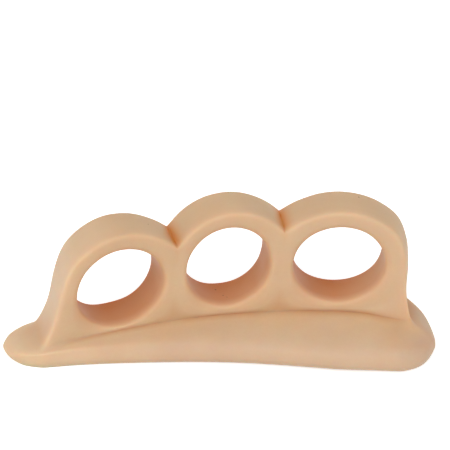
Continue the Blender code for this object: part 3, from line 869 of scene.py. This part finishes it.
def moulding_tree():
    """Nodes that bend a straight row, smooth it and give it the soft unevenness of a gel casting."""
    tree = bpy.data.node_groups.new("Bent gel moulding", "GeometryNodeTree")
    for name, kind in (
        ("Cage", "NodeSocketGeometry"),
        ("Row radius", "NodeSocketFloat"),
        ("Smoothing", "NodeSocketInt"),
        ("Unevenness", "NodeSocketFloat"),
        ("Unevenness size", "NodeSocketFloat"),
        ("Seed", "NodeSocketFloat"),
        ("Gel", "NodeSocketMaterial"),
    ):
        tree.interface.new_socket(name, in_out="INPUT", socket_type=kind)
    tree.interface.new_socket("Moulding", in_out="OUTPUT", socket_type="NodeSocketGeometry")
    given = add(tree, "NodeGroupInput").outputs
    # Bend: along becomes an angle, back adds to the radius
    straight = add(tree, "GeometryNodeInputPosition").outputs[0]
    place = add(tree, "ShaderNodeSeparateXYZ", {0: straight}).outputs
    row = given["Row radius"]
    angle = add(tree, "ShaderNodeMath", {0: place["X"], 1: row}, operation="DIVIDE").outputs[0]
    radius = add(tree, "ShaderNodeMath", {0: place["Y"], 1: row}, operation="ADD").outputs[0]
    sine = add(tree, "ShaderNodeMath", {0: angle}, operation="SINE").outputs[0]
    cosine = add(tree, "ShaderNodeMath", {0: angle}, operation="COSINE").outputs[0]
    x = add(tree, "ShaderNodeMath", {0: radius, 1: sine}, operation="MULTIPLY").outputs[0]
    reach = add(tree, "ShaderNodeMath", {0: radius, 1: cosine}, operation="MULTIPLY").outputs[0]
    y = add(tree, "ShaderNodeMath", {0: reach, 1: row}, operation="SUBTRACT").outputs[0]
    bent_place = add(tree, "ShaderNodeCombineXYZ", {"X": x, "Y": y, "Z": place["Z"]}).outputs[0]
    bent = add(tree, "GeometryNodeSetPosition", {"Geometry": given["Cage"], "Position": bent_place})
    fold = add(tree, "GeometryNodeInputNamedAttribute", {"Name": "sharp_fold"}, data_type="FLOAT")
    smooth = add(tree, "GeometryNodeSubdivisionSurface", {
        "Mesh": bent.outputs[0], "Level": given["Smoothing"], "Edge Crease": fold.outputs["Attribute"],
    })
    # Unevenness along the normal, none on the underside, which stays flat
    fresh = add(tree, "GeometryNodeInputPosition").outputs[0]
    fineness = add(tree, "ShaderNodeMath", {0: 1.0, 1: given["Unevenness size"]}, operation="DIVIDE")
    waves = add(tree, "ShaderNodeTexNoise", {
        "Vector": fresh, "W": given["Seed"], "Scale": fineness.outputs[0], "Detail": 1.0,
    }, noise_dimensions="4D")
    swing = add(tree, "ShaderNodeMapRange", {
        "Value": waves.outputs[0], "From Min": 0.25, "From Max": 0.75, "To Min": -1.0, "To Max": 1.0,
    })
    height = add(tree, "ShaderNodeSeparateXYZ", {0: fresh}).outputs["Z"]
    above = add(tree, "ShaderNodeMapRange", {
        "Value": height, "From Min": EVEN_BELOW, "From Max": UNEVEN_ABOVE,
    })
    amount = add(tree, "ShaderNodeMath", {
        0: swing.outputs[0], 1: above.outputs[0],
    }, operation="MULTIPLY").outputs[0]
    shift = add(tree, "ShaderNodeMath", {0: amount, 1: given["Unevenness"]}, operation="MULTIPLY").outputs[0]
    normal = add(tree, "GeometryNodeInputNormal").outputs[0]
    offset = add(tree, "ShaderNodeVectorMath", {0: normal, "Scale": shift}, operation="SCALE").outputs[0]
    uneven = add(tree, "GeometryNodeSetPosition", {"Geometry": smooth.outputs[0], "Offset": offset})
    whole = add(tree, "GeometryNodeRealizeInstances", {"Geometry": uneven.outputs[0]})
    soft = add(tree, "GeometryNodeSetShadeSmooth", {0: whole.outputs[0]})
    dressed = add(tree, "GeometryNodeSetMaterial", {"Geometry": soft.outputs[0], "Material": given["Gel"]})
    add(tree, "NodeGroupOutput", {"Moulding": dressed.outputs[0]})
    return tree


def make_moulding(gel):
    piece = put("gel_moulding", straight_cage())
    return grown(piece, moulding_tree(), {
        "Row radius": ROW_RADIUS,
        "Smoothing": SMOOTHING,
        "Unevenness": UNEVENNESS,
        "Unevenness size": SWELL_SIZE,
        "Seed": 4.0,
        "Gel": gel,
    })


# Specks of dust that stick to the gel: each by its loop, its angle round the bore in degrees, its depth
# and width in millimetres, and whether it lies in the bore or outside on the crown

DUST = (
    (1, -95, 5.6, 0.28, "bore"),
    (1, -88, 3.6, 0.22, "bore"),
    (1, -84, 2.9, 0.16, "bore"),
    (2, 75, 6.4, 0.24, "crown"),
    (0, 60, 4.5, 0.16, "crown"),
)
GRAIN_LENGTH = 1.35
GRAIN_FLATNESS = 0.45
# A ray to the crown starts this far out, well past it
PAST_CROWN = 30 * MM


def dust_tree():
    """Nodes that seat one flat grain on each point, turned to the gel's surface."""
    tree = bpy.data.node_groups.new("Seated dust", "GeometryNodeTree")
    for name, kind in (
        ("Places", "NodeSocketGeometry"),
        ("Flatness", "NodeSocketFloat"),
        ("Seed", "NodeSocketInt"),
        ("Dust", "NodeSocketMaterial"),
    ):
        tree.interface.new_socket(name, in_out="INPUT", socket_type=kind)
    tree.interface.new_socket("Grains", in_out="OUTPUT", socket_type="NodeSocketGeometry")
    given = add(tree, "NodeGroupInput").outputs
    ball = add(tree, "GeometryNodeMeshIcoSphere", {"Radius": 0.5, "Subdivisions": 2}).outputs["Mesh"]
    outward = add(tree, "GeometryNodeInputNamedAttribute", {"Name": "outward"}, data_type="FLOAT_VECTOR")
    size = add(tree, "GeometryNodeInputNamedAttribute", {"Name": "size"}, data_type="FLOAT")
    across = size.outputs["Attribute"]
    turned = add(tree, "FunctionNodeAlignRotationToVector", {
        "Vector": outward.outputs["Attribute"],
    }, axis="Z").outputs["Rotation"]
    spin = add(tree, "FunctionNodeRandomValue", {
        "Min": 0.0, "Max": 6.28, "Seed": given["Seed"],
    }, data_type="FLOAT")
    about = add(tree, "FunctionNodeAxisAngleToRotation", {
        "Axis": (0, 0, 1), "Angle": spin.outputs[1],
    }).outputs["Rotation"]
    turn = add(tree, "FunctionNodeRotateRotation", {
        "Rotation": turned, "Rotate By": about,
    }, rotation_space="LOCAL").outputs["Rotation"]
    long = add(tree, "ShaderNodeMath", {0: across, 1: GRAIN_LENGTH}, operation="MULTIPLY").outputs[0]
    thick = add(tree, "ShaderNodeMath", {0: across, 1: given["Flatness"]}, operation="MULTIPLY").outputs[0]
    scale = add(tree, "ShaderNodeCombineXYZ", {"X": long, "Y": across, "Z": thick}).outputs[0]
    seated = add(tree, "GeometryNodeInstanceOnPoints", {
        "Points": given["Places"], "Instance": ball, "Rotation": turn, "Scale": scale,
    })
    whole = add(tree, "GeometryNodeRealizeInstances", {"Geometry": seated.outputs[0]})
    dressed = add(tree, "GeometryNodeSetMaterial", {"Geometry": whole.outputs[0], "Material": given["Dust"]})
    add(tree, "NodeGroupOutput", {"Grains": dressed.outputs[0]})
    return tree


def make_dust(moulding, finish):
    shape = bmesh.new()
    outward = shape.verts.layers.float_vector.new("outward")
    size = shape.verts.layers.float.new("size")
    for loop, angle, depth, across, side in DUST:
        heading = CENTRES[loop] / ROW_RADIUS
        axis = Vector((math.sin(heading), math.cos(heading), 0.0))
        sideways = Vector((math.cos(heading), -math.sin(heading), 0.0))
        front = axis * ROW_RADIUS + Vector((0.0, -ROW_RADIUS, bore_height(loop)))
        rise = math.radians(angle)
        ray = sideways * math.cos(rise) + Vector((0, 0, math.sin(rise)))
        start = front + axis * depth * MM
        if side == "crown":
            start, ray = start + ray * PAST_CROWN, -ray
        found, spot, normal = moulding.ray_cast(start, ray)[:3]
        if found:
            point = shape.verts.new(spot)
            point[outward] = normal
            point[size] = across * MM
    mesh = bpy.data.meshes.new("dust_places")
    shape.to_mesh(mesh)
    shape.free()
    piece = put("dust_specks", mesh)
    return grown(piece, dust_tree(), {"Flatness": GRAIN_FLATNESS, "Seed": 3, "Dust": finish})


gel = make_gel()
moulding = make_moulding(gel)
dust = make_dust(moulding, make_dust_finish())
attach(moulding, "root")
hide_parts("toe_separator")
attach(dust, "root")


# Studio: a white floor that keeps a soft shadow, three soft lamps and an even pale room

FLOOR_SIZE = 6.0
# The floor lies just under the flat underside, so that the two are never in one plane
FLOOR_DROP = 0.02 * MM
FLOOR_GLOW = 0.55
ROOM_LIGHT = 0.5
LAMPS_AIM = Vector((0, 0, 12 * MM))
# Each lamp with its azimuth and elevation in degrees, its distance and width in metres, and its power
LAMPS = (
    ("Left softbox", 50, 39, 0.9, 0.7, 3.25),
    ("Right fill", -34, 43, 1.0, 0.8, 2.05),
    ("Front lamp", 12, 55, 1.0, 0.5, 0.9),
)


def seen_rays(tree):
    """1 for what is seen straight, in a gloss or through the object, 0 for the light that falls on it."""
    path = add(tree, "ShaderNodeLightPath").outputs
    mirrored = add(tree, "ShaderNodeMath", {
        0: path["Is Camera Ray"], 1: path["Is Glossy Ray"],
    }, operation="ADD")
    through = add(tree, "ShaderNodeMath", {
        0: mirrored.outputs[0], 1: path["Is Transmission Ray"],
    }, operation="ADD")
    through.use_clamp = True
    return through.outputs[0]


def make_floor():
    shape = bmesh.new()
    below = Matrix.Translation((0, 0, -FLOOR_DROP))
    bmesh.ops.create_grid(shape, x_segments=1, y_segments=1, size=FLOOR_SIZE / 2, matrix=below)
    mesh = bpy.data.meshes.new("studio_floor")
    shape.to_mesh(mesh)
    shape.free()
    floor = put("studio_floor", mesh)
    paper = bpy.data.materials.new("White paper backdrop")
    paper.use_nodes = True
    tree = paper.node_tree
    tree.nodes.clear()
    matte = add(tree, "ShaderNodeBsdfDiffuse", {"Color": linear("F4F2EF")})
    glow = add(tree, "ShaderNodeEmission", {"Color": (1, 1, 1, 1), "Strength": FLOOR_GLOW})
    lit = add(tree, "ShaderNodeAddShader", {0: matte.outputs[0], 1: glow.outputs[0]})
    mixed = add(tree, "ShaderNodeMixShader", {0: seen_rays(tree), 1: matte.outputs[0], 2: lit.outputs[0]})
    add(tree, "ShaderNodeOutputMaterial", {"Surface": mixed.outputs[0]})
    mesh.materials.append(paper)


def make_room():
    room = bpy.data.worlds.new("Pale room")
    room.use_nodes = True
    tree = room.node_tree
    tree.nodes.clear()
    even = add(tree, "ShaderNodeBackground", {"Color": (1, 1, 1, 1), "Strength": ROOM_LIGHT})
    white = add(tree, "ShaderNodeBackground", {"Color": (1, 1, 1, 1), "Strength": 1.0})
    mixed = add(tree, "ShaderNodeMixShader", {0: seen_rays(tree), 1: even.outputs[0], 2: white.outputs[0]})
    add(tree, "ShaderNodeOutputWorld", {"Surface": mixed.outputs[0]})
    bpy.context.scene.world = room


def make_light(name, azimuth, elevation, away, size, power):
    """Square soft light that looks at the object from an azimuth and an elevation in degrees."""
    lamp = bpy.data.lights.new(name, "AREA")
    lamp.size = size
    lamp.energy = power
    turn, rise = math.radians(azimuth), math.radians(elevation)
    level = math.cos(rise)
    from_object = Vector((-math.sin(turn) * level, -math.cos(turn) * level, math.sin(rise)))
    light = bpy.data.objects.new(name, lamp)
    light.location = from_object * away + LAMPS_AIM
    light.rotation_euler = from_object.to_track_quat("Z", "Y").to_euler()
    bpy.context.collection.objects.link(light)


# Camera of the photograph: where it stands, its roll, and the picture's scale and aim in pixels

PICTURE = 450
SENSOR = 36.0
CAMERA_AZIMUTH = math.radians(15.3)
CAMERA_ELEVATION = math.radians(34.8)
CAMERA_ROLL = math.radians(5.3)
CAMERA_DISTANCE = 0.74
PIXELS_PER_METRE = 5130
AIM = Vector((0, 0, 15 * MM))
AIM_PIXEL = (228.4, 273.5)


def make_camera():
    towards = Vector((
        math.sin(CAMERA_AZIMUTH) * math.cos(CAMERA_ELEVATION),
        math.cos(CAMERA_AZIMUTH) * math.cos(CAMERA_ELEVATION),
        -math.sin(CAMERA_ELEVATION),
    ))
    right = Vector((math.cos(CAMERA_AZIMUTH), -math.sin(CAMERA_AZIMUTH), 0))
    up = right.cross(towards)
    # Rolled, then turned a little so that the aim point falls on its own pixel
    level = Matrix((right, up, -towards)).transposed()
    focal = PIXELS_PER_METRE * CAMERA_DISTANCE
    turn = math.atan((AIM_PIXEL[0] - PICTURE / 2) / focal)
    tip = math.atan((AIM_PIXEL[1] - PICTURE / 2) / focal)
    roll = Matrix.Rotation(CAMERA_ROLL, 3, "Z")
    frame_turn = roll @ Matrix.Rotation(turn, 3, "Y") @ Matrix.Rotation(tip, 3, "X")
    lens = bpy.data.cameras.new("Photograph")
    lens.sensor_width = SENSOR
    lens.lens = focal * SENSOR / PICTURE
    lens.clip_start = 0.01
    camera = bpy.data.objects.new("Photograph", lens)
    camera.matrix_world = Matrix.Translation(AIM - towards * CAMERA_DISTANCE) @ (level @ frame_turn).to_4x4()
    bpy.context.collection.objects.link(camera)
    bpy.context.scene.camera = camera


make_floor()
make_room()
for lamp in LAMPS:
    make_light(*lamp)
make_camera()
bpy.context.scene.view_settings.view_transform = "Standard"
